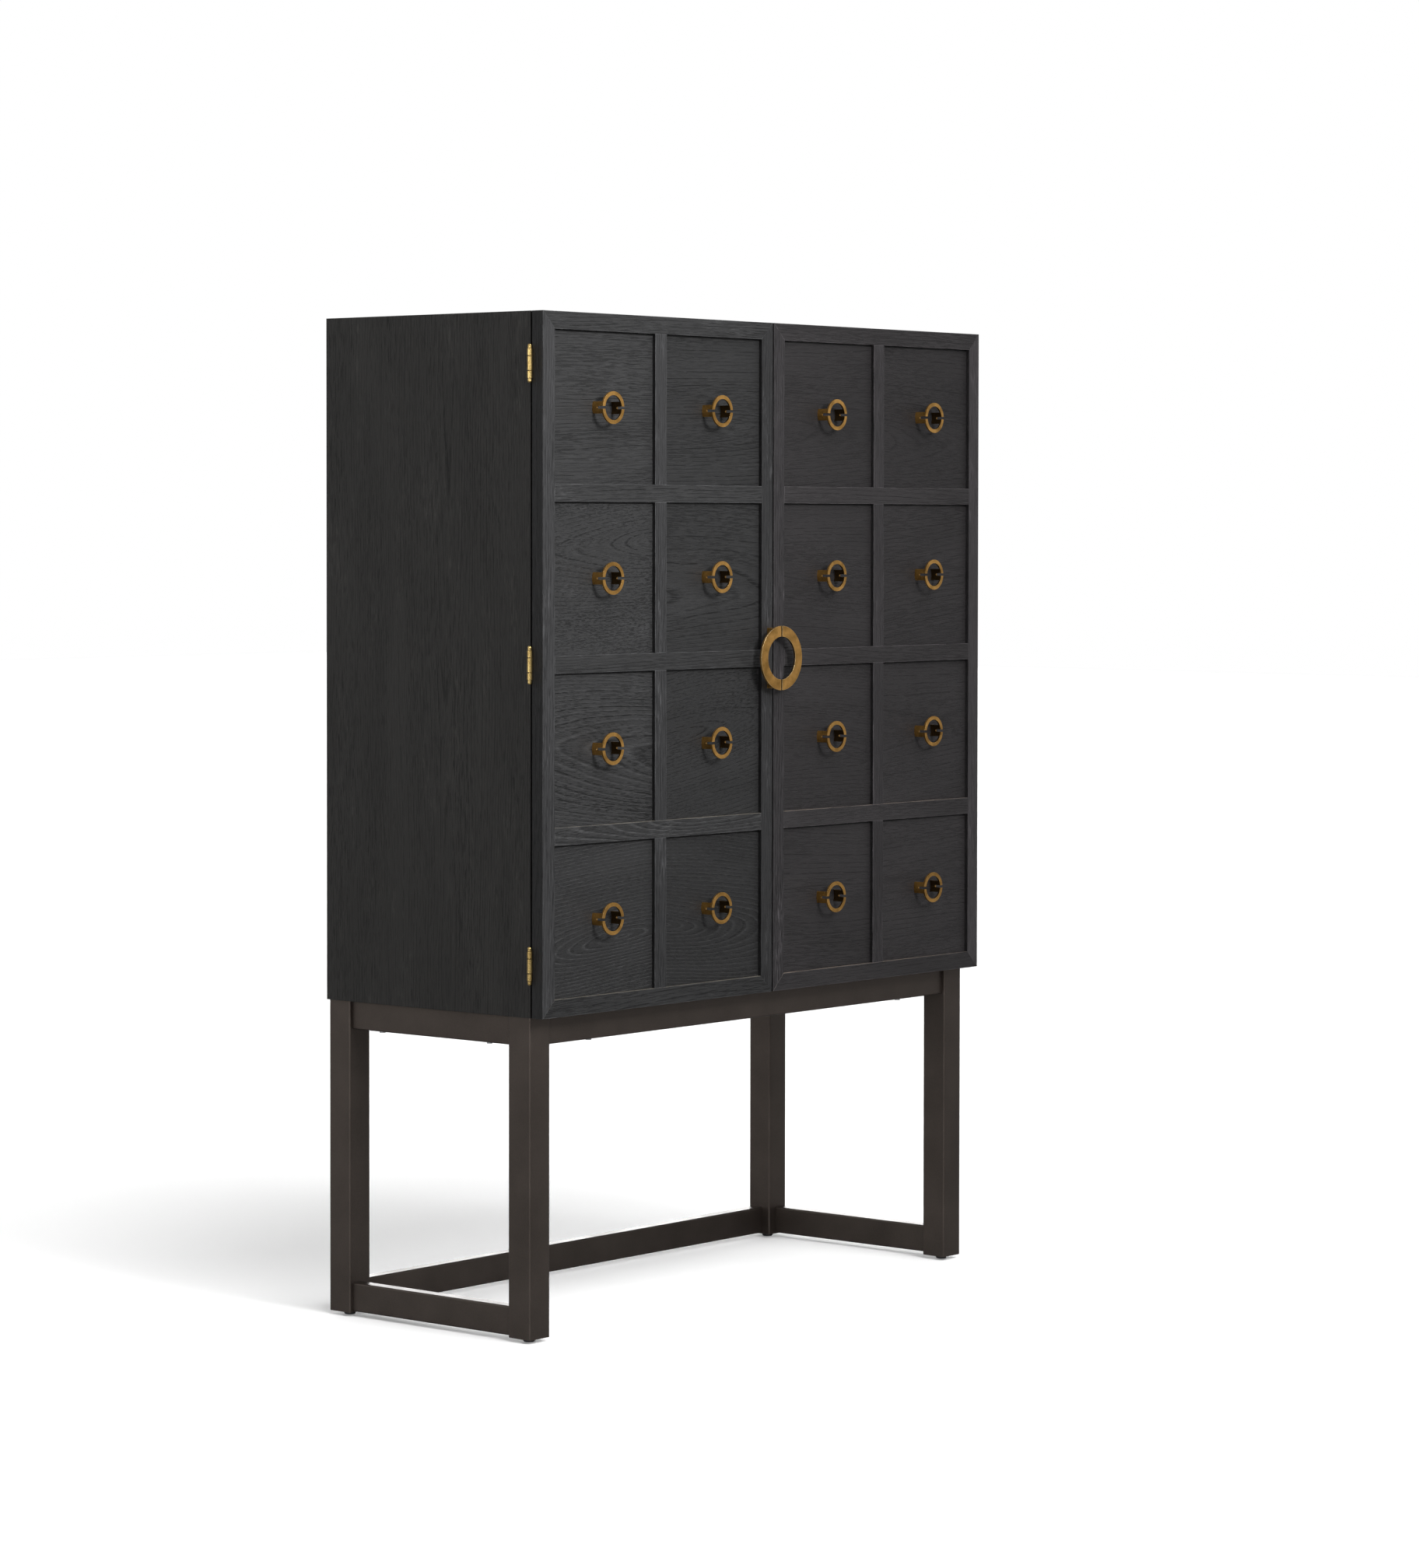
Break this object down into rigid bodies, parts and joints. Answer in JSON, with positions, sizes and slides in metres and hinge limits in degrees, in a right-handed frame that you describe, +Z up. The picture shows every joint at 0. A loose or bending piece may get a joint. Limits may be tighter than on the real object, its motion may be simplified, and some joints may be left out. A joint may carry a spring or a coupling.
{
  "type": "apothecary cabinet",
  "caption": "Tall two-door storage cabinet dressed as rows of small square drawers, with ring knobs and a split ring pull, on a square-tube metal stand.",
  "frame": {"origin": "on the floor, under the middle of the cabinet's bounding box", "axes": "+X to the right as seen from the front, +Y to the back, +Z up"},
  "size_m": [1.235, 0.526, 1.737],
  "materials": {
    "case_oak": "ebonised open-pore oak, satin, vertical grain",
    "inside_oak": "stained oak veneer, matt",
    "frame_oak": "ebonised open-pore oak, satin",
    "panel_oak": "ebonised open-pore oak, satin, horizontal grain",
    "bronzed_steel": "dark bronze powder coat, low sheen, mottled",
    "black_nylon": "moulded black",
    "zinc_steel": "zinc plated",
    "hinge_brass": "polished brass",
    "antique_brass": "antique brass, brushed, darkened in the corners"
  },
  "bodies": {
    "cabinet": {"leg_front_left": "bronzed_steel", "leg_front_right": "bronzed_steel", "leg_back_left": "bronzed_steel", "leg_back_right": "bronzed_steel", "rail_front": "bronzed_steel", "rail_back": "bronzed_steel", "rail_left": "bronzed_steel", "rail_right": "bronzed_steel", "stretcher_left": "bronzed_steel", "stretcher_right": "bronzed_steel", "stretcher_back": "bronzed_steel", "leg_end_plates": "bronzed_steel", "glides": "black_nylon", "stand_screws": "zinc_steel", "side_left": "case_oak", "side_right": "case_oak", "top_board": "case_oak", "bottom_board": "case_oak", "back_panel": "inside_oak", "divider": "inside_oak", "shelves": "inside_oak", "shelf_pins": "hinge_brass", "catches": "zinc_steel", "case_hinge_leaves": "hinge_brass", "case_hinge_screws": "hinge_brass", "hinge_pins": "hinge_brass"},
    "left_door": {"left_hinge_stile": "frame_oak", "left_meeting_stile": "frame_oak", "left_top_rail": "frame_oak", "left_bottom_rail": "frame_oak", "left_cross_rails": "frame_oak", "left_muntins": "frame_oak", "left_panels": "panel_oak", "left_knobs_row_1": "antique_brass", "left_knobs_row_2": "antique_brass", "left_knobs_row_3": "antique_brass", "left_knobs_row_4": "antique_brass", "left_knob_nuts": "zinc_steel", "left_pull": "antique_brass", "left_pull_screws": "zinc_steel", "left_hinge_leaves": "hinge_brass", "left_hinge_screws": "hinge_brass", "left_strikes": "zinc_steel"},
    "right_door": {"right_hinge_stile": "frame_oak", "right_meeting_stile": "frame_oak", "right_top_rail": "frame_oak", "right_bottom_rail": "frame_oak", "right_cross_rails": "frame_oak", "right_muntins": "frame_oak", "right_panels": "panel_oak", "right_knobs_row_1": "antique_brass", "right_knobs_row_2": "antique_brass", "right_knobs_row_3": "antique_brass", "right_knobs_row_4": "antique_brass", "right_knob_nuts": "zinc_steel", "right_pull": "antique_brass", "right_pull_screws": "zinc_steel", "right_hinge_leaves": "hinge_brass", "right_hinge_screws": "hinge_brass", "right_strikes": "zinc_steel"}
  },
  "joints": [
    {"name": "left_door_hinge", "type": "hinge", "parent": "cabinet", "child": "left_door", "pos_m": [-0.6133, -0.21675, 1.1445], "axis": [0, 0, -1], "range_deg": [0, 180]},
    {"name": "right_door_hinge", "type": "hinge", "parent": "cabinet", "child": "right_door", "pos_m": [0.6133, -0.21675, 1.1445], "axis": [0, 0, 1], "range_deg": [0, 180]}
  ]
}
